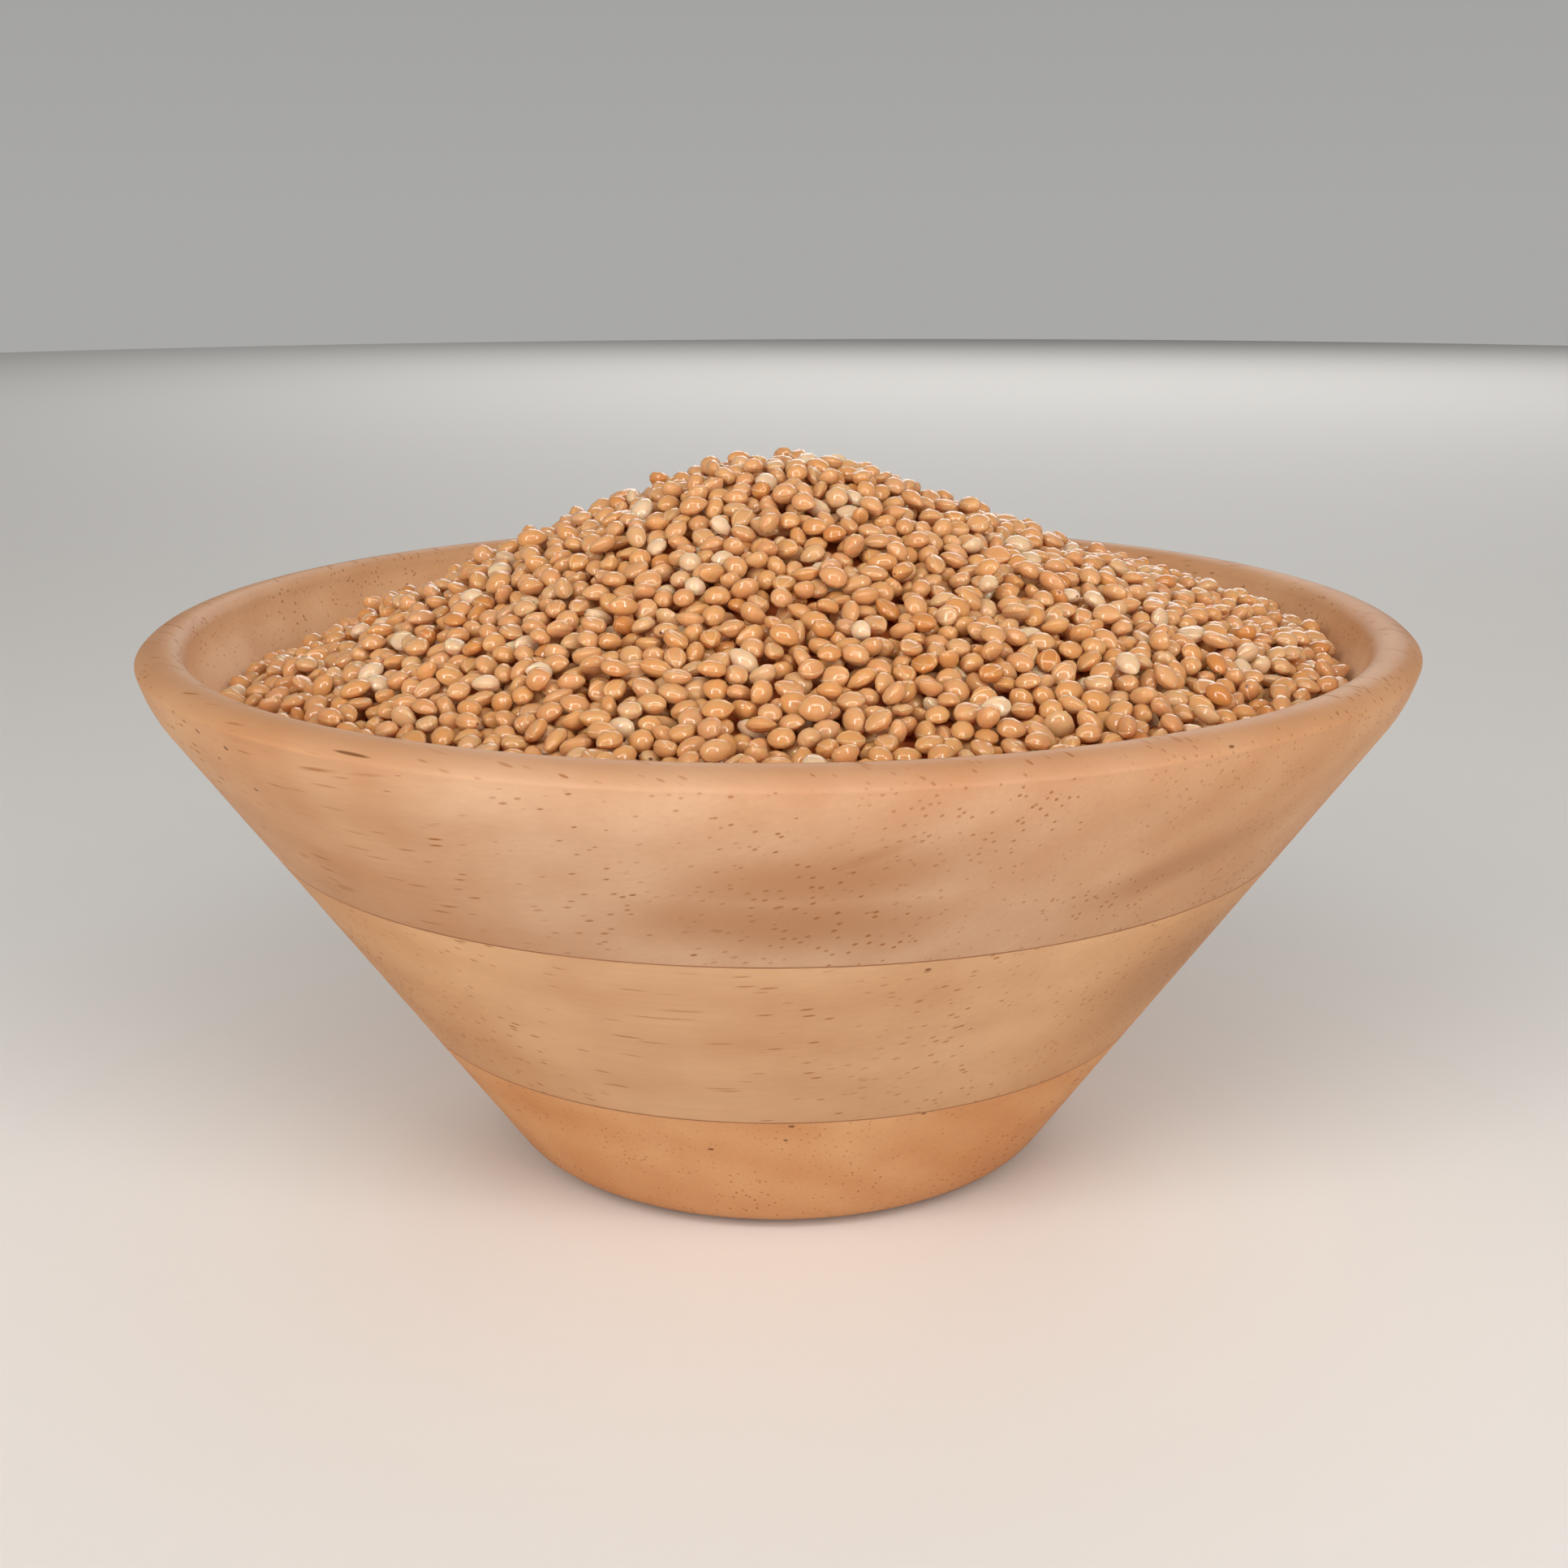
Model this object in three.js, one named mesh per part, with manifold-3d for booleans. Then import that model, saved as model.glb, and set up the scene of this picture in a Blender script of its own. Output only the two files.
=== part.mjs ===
// A small turned wooden bowl, heaped with whole millet.
// Millimetres, +Z up. The origin is the centre of the bowl's base, and the front faces -Y.
import * as THREE from 'three';
import { mergeVertices } from 'three/addons/utils/BufferGeometryUtils.js';
import Module from 'manifold-3d';

const wasm = await Module();
wasm.setup();

// The bowl's outside: a straight wall that leans out from a flat base to the lip, 140 across.
const BASE_RADIUS = 29.8;
const WALL_LEAN = 0.699;
const BASE_EDGE_ROUND = 3.5;

// The lip: from a shoulder on each side the wall stands up more steeply, to a crisp outer edge and
// an inner one, and the top is a low arc that bows up between them.
const SHOULDER_HEIGHT = 56;
const SHOULDER_REACH = 2;
const INSIDE_SHOULDER_HEIGHT = 57.5;
const LIP_OUTER_EDGE = new THREE.Vector2(70, 59.45);
const LIP_INNER_EDGE = new THREE.Vector2(65, 60.45);
const LIP_BOW = 1.05;

// The bowl's inside, hidden under the millet but for its top.
const WALL_THICKNESS = 4.8;
const FLOOR_THICKNESS = 9;
const INSIDE_CORNER_ROUND = 14;

// The blank was glued up from three flat boards, so two level glue lines run round the wall.
const LOWER_GLUE_LINE = 17.7;
const UPPER_GLUE_LINE = 39.7;

const LATHE_SEGMENTS = 64;
const CURVE_SEGMENTS = 3;

// The heap: its peak is a little left of and behind the bowl's middle, and its right side lies flatter.
const HEAP_PEAK = new THREE.Vector3(-1, 5, 78.2);
const HEAP_TIP_ROUND = 7.7;
const HEAP_FALL_LEFT = 0.49;
const HEAP_FALL_RIGHT = 0.4;
const HEAP_SPREAD_LEFT = 0.0004;
const HEAP_SPREAD_RIGHT = 0.0004;
const HEAP_WALL_GAP = 0.3;

// Where the poured heap stands higher or lower than that: [x, y, height, reach].
const HEAP_SWELLS = [
  [10, 5, 0.6, 8], [38, 8, -1.1, 8], [55, 8, 0.7, 7], [-8, 2, -0.3, 6], [-55, 18, -1.3, 8],
];

// Grains: one low bump for each, as long as a grain, with the gaps between them sunk.
const GRAIN_LENGTH = 3.1;
const GRAIN_RISE = 0.35;
const GRAIN_RISE_VARIES = 0.3;
const GAP_DEPTH = 0.65;
const GRAIN_SHIFT = 0.22;
const GRAIN_SEED = 1207;

const WOOD = { color: 0xcb9a72, roughness: 0.55, metalness: 0 };
const BASE_WOOD = { color: 0xcb8f63, roughness: 0.55, metalness: 0 };
const MILLET = { color: 0xcd9564, roughness: 0.35, metalness: 0 };

const wallLength = Math.hypot(1, WALL_LEAN);
const wallAcross = WALL_THICKNESS * wallLength;
const outsideRadius = (z) => BASE_RADIUS + WALL_LEAN * z;
const insideRadius = (z) => outsideRadius(z) - wallAcross;

// A point that lies on the line from one point towards another, a set way along.
function along(from, towards, distance) {
  return towards.clone().sub(from).setLength(distance).add(from);
}

// A corner drawn as a curve that starts and ends a set way from it.
function roundedCorner(path, before, corner, after, reach) {
  const start = along(corner, before, reach);
  const end = along(corner, after, reach);
  path.lineTo(start.x, start.y);
  path.quadraticCurveTo(corner.x, corner.y, end.x, end.y);
}

// How far from a corner a round of this radius starts.
function roundReach(before, corner, after, radius) {
  const first = before.clone().sub(corner);
  const second = after.clone().sub(corner);
  return radius / Math.tan(first.angleTo(second) / 2);
}

function lathe(path) {
  const geometry = new THREE.LatheGeometry(path.getPoints(CURVE_SEGMENTS), LATHE_SEGMENTS);
  return geometry.rotateX(Math.PI / 2);
}

function woodLayer(name, path, finish) {
  const mesh = new THREE.Mesh(lathe(path), new THREE.MeshStandardMaterial(finish));
  mesh.name = name;
  return mesh;
}

// The base board holds the flat underside, its rounded edge and the bottom of the hollow.
function baseLayerProfile() {
  const centre = new THREE.Vector2(0, 0);
  const baseEdge = new THREE.Vector2(BASE_RADIUS, 0);
  const outsideTop = new THREE.Vector2(outsideRadius(LOWER_GLUE_LINE), LOWER_GLUE_LINE);
  const insideTop = new THREE.Vector2(insideRadius(LOWER_GLUE_LINE), LOWER_GLUE_LINE);
  const insideCorner = new THREE.Vector2(insideRadius(FLOOR_THICKNESS), FLOOR_THICKNESS);
  const insideCentre = new THREE.Vector2(0, FLOOR_THICKNESS);
  const path = new THREE.Path();
  path.moveTo(centre.x, centre.y);
  const edgeReach = roundReach(centre, baseEdge, outsideTop, BASE_EDGE_ROUND);
  roundedCorner(path, centre, baseEdge, outsideTop, edgeReach);
  path.lineTo(outsideTop.x, outsideTop.y);
  path.lineTo(insideTop.x, insideTop.y);
  const cornerReach = roundReach(insideTop, insideCorner, insideCentre, INSIDE_CORNER_ROUND);
  roundedCorner(path, insideTop, insideCorner, insideCentre, cornerReach);
  path.lineTo(insideCentre.x, insideCentre.y);
  return path;
}

// The middle board is a plain ring of the sloping wall.
function middleLayerProfile() {
  const path = new THREE.Path();
  path.moveTo(outsideRadius(LOWER_GLUE_LINE), LOWER_GLUE_LINE);
  path.lineTo(outsideRadius(UPPER_GLUE_LINE), UPPER_GLUE_LINE);
  path.lineTo(insideRadius(UPPER_GLUE_LINE), UPPER_GLUE_LINE);
  path.lineTo(insideRadius(LOWER_GLUE_LINE), LOWER_GLUE_LINE);
  path.closePath();
  return path;
}

// The rim board ends in the lip. The crown is where the slopes of the lip's two edges would meet.
function rimLayerProfile() {
  const outsideFoot = new THREE.Vector2(outsideRadius(UPPER_GLUE_LINE), UPPER_GLUE_LINE);
  const insideFoot = new THREE.Vector2(insideRadius(UPPER_GLUE_LINE), UPPER_GLUE_LINE);
  const shoulder = new THREE.Vector2(outsideRadius(SHOULDER_HEIGHT), SHOULDER_HEIGHT);
  const insideShoulder = new THREE.Vector2(insideRadius(INSIDE_SHOULDER_HEIGHT), INSIDE_SHOULDER_HEIGHT);
  const across = LIP_INNER_EDGE.clone().sub(LIP_OUTER_EDGE);
  const upwards = new THREE.Vector2(across.y, -across.x).setLength(2 * LIP_BOW);
  const crown = LIP_OUTER_EDGE.clone().lerp(LIP_INNER_EDGE, 0.5).add(upwards);
  const path = new THREE.Path();
  path.moveTo(outsideFoot.x, outsideFoot.y);
  roundedCorner(path, outsideFoot, shoulder, LIP_OUTER_EDGE, SHOULDER_REACH);
  path.lineTo(LIP_OUTER_EDGE.x, LIP_OUTER_EDGE.y);
  path.quadraticCurveTo(crown.x, crown.y, LIP_INNER_EDGE.x, LIP_INNER_EDGE.y);
  path.lineTo(insideShoulder.x, insideShoulder.y);
  path.lineTo(insideFoot.x, insideFoot.y);
  path.closePath();
  return path;
}

// A closed three.js shape as a solid that can be cut, and back again.
function toSolid(geometry) {
  const bare = geometry.clone();
  bare.deleteAttribute('normal');
  bare.deleteAttribute('uv');
  const merged = mergeVertices(bare, 1e-4);
  const corners = [];
  for (let i = 0; i < merged.index.count; i += 3) {
    const [a, b, c] = [0, 1, 2].map((step) => merged.index.getX(i + step));
    if (a !== b && b !== c && c !== a) corners.push(a, b, c);
  }
  return new wasm.Manifold(new wasm.Mesh({
    numProp: 3,
    vertProperties: new Float32Array(merged.attributes.position.array),
    triVerts: new Uint32Array(corners),
  }));
}

function toGeometry(solid) {
  const mesh = solid.getMesh();
  const geometry = new THREE.BufferGeometry();
  geometry.setAttribute('position', new THREE.BufferAttribute(mesh.vertProperties, 3));
  geometry.setIndex(new THREE.BufferAttribute(mesh.triVerts, 1));
  geometry.computeVertexNormals();
  return geometry;
}

// The space that the millet may fill: the bowl's inside, less a thin gap, and open air over it.
function bowlSpaceProfile() {
  const gapAcross = HEAP_WALL_GAP * wallLength;
  const floor = FLOOR_THICKNESS + HEAP_WALL_GAP;
  const spaceTop = HEAP_PEAK.z + GRAIN_LENGTH;
  const centre = new THREE.Vector2(0, floor);
  const corner = new THREE.Vector2(insideRadius(floor) - gapAcross, floor);
  const shoulderX = insideRadius(INSIDE_SHOULDER_HEIGHT) - gapAcross;
  const shoulder = new THREE.Vector2(shoulderX, INSIDE_SHOULDER_HEIGHT);
  const path = new THREE.Path();
  path.moveTo(centre.x, centre.y);
  const reach = roundReach(centre, corner, shoulder, INSIDE_CORNER_ROUND);
  roundedCorner(path, centre, corner, shoulder, reach);
  path.lineTo(shoulder.x, shoulder.y);
  path.lineTo(shoulder.x, spaceTop);
  path.lineTo(0, spaceTop);
  return path;
}

// The heap's smooth form: a round-topped cone whose foot spreads out.
function heapHeight(x, y) {
  const distance = Math.hypot(x - HEAP_PEAK.x, y - HEAP_PEAK.y);
  const rightness = distance > 0 ? 0.5 + (x - HEAP_PEAK.x) / distance / 2 : 0.5;
  const fall = THREE.MathUtils.lerp(HEAP_FALL_LEFT, HEAP_FALL_RIGHT, rightness);
  const spread = THREE.MathUtils.lerp(HEAP_SPREAD_LEFT, HEAP_SPREAD_RIGHT, rightness);
  const drop = fall * (Math.hypot(distance, HEAP_TIP_ROUND) - HEAP_TIP_ROUND);
  let height = HEAP_PEAK.z - drop + spread * distance ** 2;
  for (const [swellX, swellY, swell, reach] of HEAP_SWELLS) {
    height += swell * Math.exp(-(((x - swellX) ** 2 + (y - swellY) ** 2) / reach ** 2));
  }
  return height;
}

// A repeatable stream of numbers from 0 to 1.
function seededRandom(seed) {
  let state = seed;
  return () => {
    state = (state * 1664525 + 1013904223) % 4294967296;
    return state / 4294967296;
  };
}

// The heap's bumpy top over a triangular lattice as wide as the bowl, in which every third point
// is a grain's crown and the points round it are gaps, with straight sides down to a flat floor.
function heapColumn() {
  const random = seededRandom(GRAIN_SEED);
  const step = GRAIN_LENGTH / Math.sqrt(3);
  const rowStep = step * Math.sqrt(3) / 2;
  const reach = Math.ceil((LIP_OUTER_EDGE.x + LIP_INNER_EDGE.x) / 2 / rowStep);
  const width = 2 * reach + 1;
  const top = [];
  const floor = [];
  for (let row = -reach; row <= reach; row += 1) {
    for (let column = -reach; column <= reach; column += 1) {
      const shiftX = (random() - 0.5) * 2 * GRAIN_SHIFT * step;
      const shiftY = (random() - 0.5) * 2 * GRAIN_SHIFT * step;
      const x = (column + row / 2) * step + shiftX;
      const y = row * rowStep + shiftY;
      const isCrown = (((column - row) % 3) + 3) % 3 === 0;
      const rise = isCrown ? GRAIN_RISE + (random() * 2 - 1) * GRAIN_RISE_VARIES : -GAP_DEPTH;
      top.push(x, y, heapHeight(x, y) + rise);
      floor.push(x, y, 0);
    }
  }
  const at = (row, column) => row * width + column;
  const under = width * width;
  const faces = [];
  for (let row = 0; row < width - 1; row += 1) {
    for (let column = 0; column < width - 1; column += 1) {
      const [a, b] = [at(row, column), at(row, column + 1)];
      const [c, d] = [at(row + 1, column + 1), at(row + 1, column)];
      faces.push(a, b, d, b, c, d);
      faces.push(a + under, d + under, b + under, b + under, d + under, c + under);
    }
  }
  for (let i = 0; i < width - 1; i += 1) {
    const last = width - 1;
    const edges = [
      [at(0, i + 1), at(0, i)],
      [at(last, i), at(last, i + 1)],
      [at(i, 0), at(i + 1, 0)],
      [at(i + 1, last), at(i, last)],
    ];
    for (const [from, to] of edges) faces.push(from, to, to + under, from, to + under, from + under);
  }
  const geometry = new THREE.BufferGeometry();
  geometry.setAttribute('position', new THREE.Float32BufferAttribute([...top, ...floor], 3));
  geometry.setIndex(faces);
  return geometry;
}

function milletHeap() {
  const heap = toSolid(heapColumn()).intersect(toSolid(lathe(bowlSpaceProfile())));
  const mesh = new THREE.Mesh(toGeometry(heap), new THREE.MeshStandardMaterial(MILLET));
  mesh.name = 'millet_heap';
  return mesh;
}

const dishOfMillet = new THREE.Group();
dishOfMillet.add(
  woodLayer('bowl_base_layer', baseLayerProfile(), BASE_WOOD),
  woodLayer('bowl_middle_layer', middleLayerProfile(), WOOD),
  woodLayer('bowl_rim_layer', rimLayerProfile(), WOOD),
  milletHeap(),
);

export default dishOfMillet;
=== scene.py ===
import math

import bmesh
import bpy
import numpy as np
from mathutils import Matrix, Vector


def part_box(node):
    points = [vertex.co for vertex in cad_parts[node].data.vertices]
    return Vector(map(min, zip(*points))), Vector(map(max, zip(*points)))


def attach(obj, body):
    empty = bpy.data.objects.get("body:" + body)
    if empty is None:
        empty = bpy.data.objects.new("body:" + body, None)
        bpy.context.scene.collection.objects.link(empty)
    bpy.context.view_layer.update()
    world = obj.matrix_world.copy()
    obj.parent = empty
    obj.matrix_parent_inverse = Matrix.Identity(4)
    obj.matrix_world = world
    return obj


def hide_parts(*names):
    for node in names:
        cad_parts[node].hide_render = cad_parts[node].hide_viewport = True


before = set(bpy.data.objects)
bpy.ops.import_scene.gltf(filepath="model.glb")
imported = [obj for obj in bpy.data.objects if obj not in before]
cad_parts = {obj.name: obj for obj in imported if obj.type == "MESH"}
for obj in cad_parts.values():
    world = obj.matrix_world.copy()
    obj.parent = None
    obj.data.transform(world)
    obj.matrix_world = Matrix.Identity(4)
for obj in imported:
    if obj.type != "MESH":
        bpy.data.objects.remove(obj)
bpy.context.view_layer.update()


# ---------------------------------------------------------------------------
# Base board. The lowest of three flat boards that the bowl's blank was glued
# up from: pale hardwood, turned on a lathe, sanded and oiled. It holds the
# flat base, and shows end grain to the front.
# ---------------------------------------------------------------------------

MM = 0.001
LATHE_STEPS = 192
MERGE_DISTANCE = 0.001 * MM
SHARP_EDGE = math.radians(35)

base_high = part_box("bowl_base_layer")[1]
middle_low, middle_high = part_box("bowl_middle_layer")
rim_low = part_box("bowl_rim_layer")[0]

# The wall's lean and its two faces, read from the boards' own sizes.
WALL_LEAN = (middle_high.x - base_high.x) / (middle_high.z - base_high.z)
BASE_RADIUS = base_high.x - WALL_LEAN * base_high.z
WALL_THICKNESS = 4.8 * MM
FLOOR_THICKNESS = 9 * MM
BASE_EDGE_REACH = 3.3 * MM
INSIDE_CORNER_REACH = 7 * MM
GLUE_EDGE_CHAMFER = 0.12 * MM

wall_across = WALL_THICKNESS * math.hypot(1, WALL_LEAN)


def outside_radius(z):
    return BASE_RADIUS + WALL_LEAN * z


def inside_radius(z):
    return outside_radius(z) - wall_across


def turned_board(name, outline, rounds, closed):
    """A solid of revolution. outline is (radius, height) points, and rounds gives the reach and
    the number of segments of the rounding at some of them."""
    shape = bmesh.new()
    corners = [shape.verts.new((radius, 0, height)) for radius, height in outline]
    ends = corners[1:] + corners[:1] if closed else corners[1:]
    for first, second in zip(corners, ends):
        shape.edges.new((first, second))
    for place, (reach, segments) in rounds.items():
        bmesh.ops.bevel(
            shape, geom=[corners[place]], offset=reach, offset_type="OFFSET",
            affect="VERTICES", segments=segments, profile=0.5, material=-1,
        )
    bmesh.ops.spin(
        shape, geom=shape.verts[:] + shape.edges[:], cent=(0, 0, 0), axis=(0, 0, 1),
        angle=math.tau, steps=LATHE_STEPS, use_merge=True,
    )
    bmesh.ops.remove_doubles(shape, verts=shape.verts, dist=MERGE_DISTANCE)
    bmesh.ops.recalc_face_normals(shape, faces=shape.faces)
    mesh = bpy.data.meshes.new(name)
    shape.to_mesh(mesh)
    shape.free()
    mesh.shade_smooth()
    mesh.set_sharp_from_angle(angle=SHARP_EDGE)
    board = bpy.data.objects.new(name, mesh)
    bpy.context.scene.collection.objects.link(board)
    return board


def linear(sheet_colour):
    """An sRGB hex colour as the linear colour that shaders take."""
    channels = [int(sheet_colour[i:i + 2], 16) / 255 for i in (1, 3, 5)]
    toe = [c / 12.92 if c <= 0.04045 else ((c + 0.055) / 1.055) ** 2.4 for c in channels]
    return (*toe, 1.0)


def add_node(tree, kind, settings=None, links=None):
    """One shader node. settings are its properties and constant sockets, links its fed sockets."""
    made = tree.nodes.new(kind)
    for key, value in (settings or {}).items():
        if isinstance(key, str) and hasattr(made, key):
            setattr(made, key, value)
        else:
            made.inputs[key].default_value = value
    for key, source in (links or {}).items():
        tree.links.new(source, made.inputs[key])
    return made


def new_material(name):
    material = bpy.data.materials.new(name)
    material.use_nodes = True
    return material, material.node_tree, material.node_tree.nodes["Principled BSDF"]


# Oiled rubberwood, sanded fine and left satin. Its vessels run along the fibres: where the wall
# lies along them they show as brown dashes, and where it cuts across them, as dots. Growth bands,
# a soft mottle and a thread of fibres stay faint.
VESSEL_SPACING = 0.75 * MM
VESSEL_LENGTH = 15 * MM
VESSEL_CLUSTER = 9 * MM
VESSEL_RELIEF = 0.08 * MM
STAIN_AND_SHADE_VESSEL_GAIN = 0.06        # vessels look wider in stain patches and in the painted shade
GROWTH_BAND = 7 * MM
GROWTH_SHARE = 0.07
FIBRE_LENGTH = 18 * MM
FIBRE_WIDTH = 0.5 * MM
MOTTLE_SIZE = 24 * MM
WAVE_TURN = math.pi / 10          # a Wave texture's scale for bands one unit apart
VESSEL_TONE = "#9a6236"
MARK_TONE = "#6a3f22"
SIDE_PAINTED_LIGHT = (0.97, 0.87, 0.72)    # painted light: the outside's two sides get a deeper, more golden tint, standing in for warm light bounced onto them
INSIDE_PAINTED_LIGHT = (1.20, 1.15, 1.02)  # painted light: the inside gets a lighter tint, standing in for more light falling on it


def wood_marks(tree, place, marks):
    """Spots, cracks and patches of stain in the outer wall, and patches of painted shade. A mark or
    patch is its turn from the front, its distance from the bowl's axis, its height, its length,
    width and depth, and its lean. Gives how far a point is from the nearest one, 1 at its edge."""
    nearest = None
    for turn, radius, height, length, width, depth, lean in marks:
        radius *= MM
        turn = math.radians(turn)
        local = add_node(
            tree, "ShaderNodeMapping",
            {
                "vector_type": "TEXTURE",
                "Location": (radius * math.sin(turn), -radius * math.cos(turn), height * MM),
                "Rotation": (0, math.radians(lean), turn),
                "Scale": (length * MM / 2, depth * MM / 2, width * MM / 2),
            },
            {"Vector": place},
        )
        away = add_node(
            tree, "ShaderNodeVectorMath", {"operation": "LENGTH"}, {0: local.outputs["Vector"]}
        ).outputs["Value"]
        if nearest:
            away = add_node(
                tree, "ShaderNodeMath", {"operation": "MINIMUM"}, {0: nearest, 1: away}
            ).outputs["Value"]
        nearest = away
    return nearest


def oiled_rubberwood(name, fibre_turn, heart, tones, marks, stains_and_shade, phase):
    """fibre_turn is how far the board's fibres turn from straight across, heart is where the
    tree's middle ran beside and below the bowl, and phase shifts the growth bands. tones are the
    light tone, the deep tone, and the tone of the stain patches and of the painted shade. marks,
    and the patches of stain and of painted shade, are as wood_marks takes them."""
    light, deep, stain_and_shade_tone = tones
    material, tree, surface = new_material(name)
    place = add_node(tree, "ShaderNodeTexCoord")
    fibres = add_node(
        tree, "ShaderNodeMapping",
        {"vector_type": "TEXTURE", "Rotation": (0, 0, math.radians(fibre_turn))},
        {"Vector": place.outputs["Object"]},
    )
    from_heart = add_node(
        tree, "ShaderNodeVectorMath",
        {"operation": "SUBTRACT", 1: (0, heart[0] * MM, heart[1] * MM)},
        {0: fibres.outputs["Vector"]},
    )
    growth = add_node(
        tree, "ShaderNodeTexWave",
        {
            "wave_type": "RINGS", "rings_direction": "X", "Scale": WAVE_TURN / GROWTH_BAND,
            "Distortion": 6.0, "Detail": 3.0, "Detail Scale": 0.3, "Phase Offset": phase,
        },
        {"Vector": from_heart.outputs["Vector"]},
    )
    mottle = add_node(
        tree, "ShaderNodeTexNoise", {"Scale": 1 / MOTTLE_SIZE, "Detail": 3.0, "Roughness": 0.6},
        {"Vector": from_heart.outputs["Vector"]},
    )
    tone = add_node(
        tree, "ShaderNodeMath", {"operation": "MULTIPLY_ADD", 1: GROWTH_SHARE},
        {0: growth.outputs["Fac"], 2: mottle.outputs["Fac"]},
    )
    tone_share = add_node(
        tree, "ShaderNodeMapRange", {"From Min": 0.33, "From Max": 0.75},
        {"Value": tone.outputs["Value"]},
    )
    body = add_node(
        tree, "ShaderNodeMix", {"data_type": "RGBA", 6: linear(light), 7: linear(deep)},
        {0: tone_share.outputs["Result"]},
    )
    along_fibre = add_node(
        tree, "ShaderNodeVectorMath",
        {"operation": "MULTIPLY", 1: (1 / FIBRE_LENGTH, 1 / FIBRE_WIDTH, 1 / FIBRE_WIDTH)},
        {0: fibres.outputs["Vector"]},
    )
    thread = add_node(
        tree, "ShaderNodeTexNoise", {"Scale": 1.0, "Detail": 3.0, "Roughness": 0.6},
        {"Vector": along_fibre.outputs["Vector"]},
    )
    thread_tone = add_node(
        tree, "ShaderNodeMapRange",
        {"From Min": 0.3, "From Max": 0.7, "To Min": 0.965, "To Max": 1.03},
        {"Value": thread.outputs["Fac"]},
    )
    threaded = add_node(
        tree, "ShaderNodeVectorMath", {"operation": "SCALE"},
        {0: body.outputs[2], "Scale": thread_tone.outputs["Result"]},
    )
    vessel_grid = add_node(
        tree, "ShaderNodeVectorMath",
        {"operation": "MULTIPLY", 1: (1 / VESSEL_LENGTH, 1 / VESSEL_SPACING, 1 / VESSEL_SPACING)},
        {0: fibres.outputs["Vector"]},
    )
    vessels = add_node(
        tree, "ShaderNodeTexVoronoi", {"Scale": 1.0, "Randomness": 1.0},
        {"Vector": vessel_grid.outputs["Vector"]},
    )
    cluster = add_node(
        tree, "ShaderNodeTexNoise", {"Scale": 1 / VESSEL_CLUSTER, "Detail": 1.0},
        {"Vector": from_heart.outputs["Vector"]},
    )
    vessel_size = add_node(
        tree, "ShaderNodeMapRange",
        {"From Min": 0.32, "From Max": 0.62, "To Min": 0.11, "To Max": 0.22},
        {"Value": cluster.outputs["Fac"]},
    ).outputs["Result"]
    # Vessels widen in stain patches and in the painted shade.
    if stains_and_shade:
        stain_and_shade_edge = add_node(
            tree, "ShaderNodeMapRange",
            {"interpolation_type": "SMOOTHSTEP", "From Min": 1.0, "From Max": 0.1, "To Max": 0.84},
            {"Value": wood_marks(tree, place.outputs["Object"], stains_and_shade)},
        ).outputs["Result"]
        vessel_size = add_node(
            tree, "ShaderNodeMath", {"operation": "MULTIPLY_ADD", 1: STAIN_AND_SHADE_VESSEL_GAIN},
            {0: stain_and_shade_edge, 2: vessel_size},
        ).outputs["Value"]
    vessel_depth = add_node(
        tree, "ShaderNodeMath", {"operation": "SUBTRACT"},
        {0: vessel_size, 1: vessels.outputs["Distance"]},
    )
    vessel = add_node(
        tree, "ShaderNodeMapRange", {"From Min": -0.03, "From Max": 0.08},
        {"Value": vessel_depth.outputs["Value"]},
    )
    # Some vessels are darker than others.
    vessel_kind = add_node(
        tree, "ShaderNodeSeparateColor", {}, {0: vessels.outputs["Color"]}
    )
    vessel_strength = add_node(
        tree, "ShaderNodeMapRange", {"To Min": 0.2, "To Max": 0.95},
        {"Value": vessel_kind.outputs[0]},
    )
    vessel_share = add_node(
        tree, "ShaderNodeMath", {"operation": "MULTIPLY"},
        {0: vessel.outputs["Result"], 1: vessel_strength.outputs["Result"]},
    )
    # Painted light: outside, the front and back stay paler and pinker and the two sides get a more golden
    # tint, and the inside gets a lighter tint, standing in for how light falls on each.
    level = add_node(
        tree, "ShaderNodeVectorMath", {"operation": "MULTIPLY", 1: (1, 1, 0)},
        {0: place.outputs["Object"]},
    )
    outward = add_node(
        tree, "ShaderNodeVectorMath", {"operation": "NORMALIZE"}, {0: level.outputs["Vector"]}
    )
    outward_parts = add_node(
        tree, "ShaderNodeSeparateXYZ", {}, {0: outward.outputs["Vector"]}
    )
    sideways = add_node(
        tree, "ShaderNodeMath", {"operation": "ABSOLUTE"}, {0: outward_parts.outputs["X"]}
    )
    side_share = add_node(
        tree, "ShaderNodeMapRange",
        {"interpolation_type": "SMOOTHSTEP", "From Min": 0.25, "From Max": 0.75},
        {"Value": sideways.outputs["Value"]},
    )
    facing = add_node(tree, "ShaderNodeNewGeometry")
    facing_out = add_node(
        tree, "ShaderNodeVectorMath", {"operation": "DOT_PRODUCT"},
        {0: facing.outputs["Normal"], 1: outward.outputs["Vector"]},
    )
    outside_share = add_node(
        tree, "ShaderNodeMapRange", {"From Min": -0.1, "From Max": 0.4},
        {"Value": facing_out.outputs["Value"]},
    )
    outside_side = add_node(
        tree, "ShaderNodeMath", {"operation": "MULTIPLY"},
        {0: side_share.outputs["Result"], 1: outside_share.outputs["Result"]},
    )
    inside_painted_light = add_node(
        tree, "ShaderNodeMix", {"data_type": "VECTOR", 4: INSIDE_PAINTED_LIGHT, 5: (1, 1, 1)},
        {0: outside_share.outputs["Result"]},
    )
    painted_light_tint = add_node(
        tree, "ShaderNodeMix", {"data_type": "VECTOR", 5: SIDE_PAINTED_LIGHT},
        {0: outside_side.outputs["Value"], 4: inside_painted_light.outputs[1]},
    )
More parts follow.
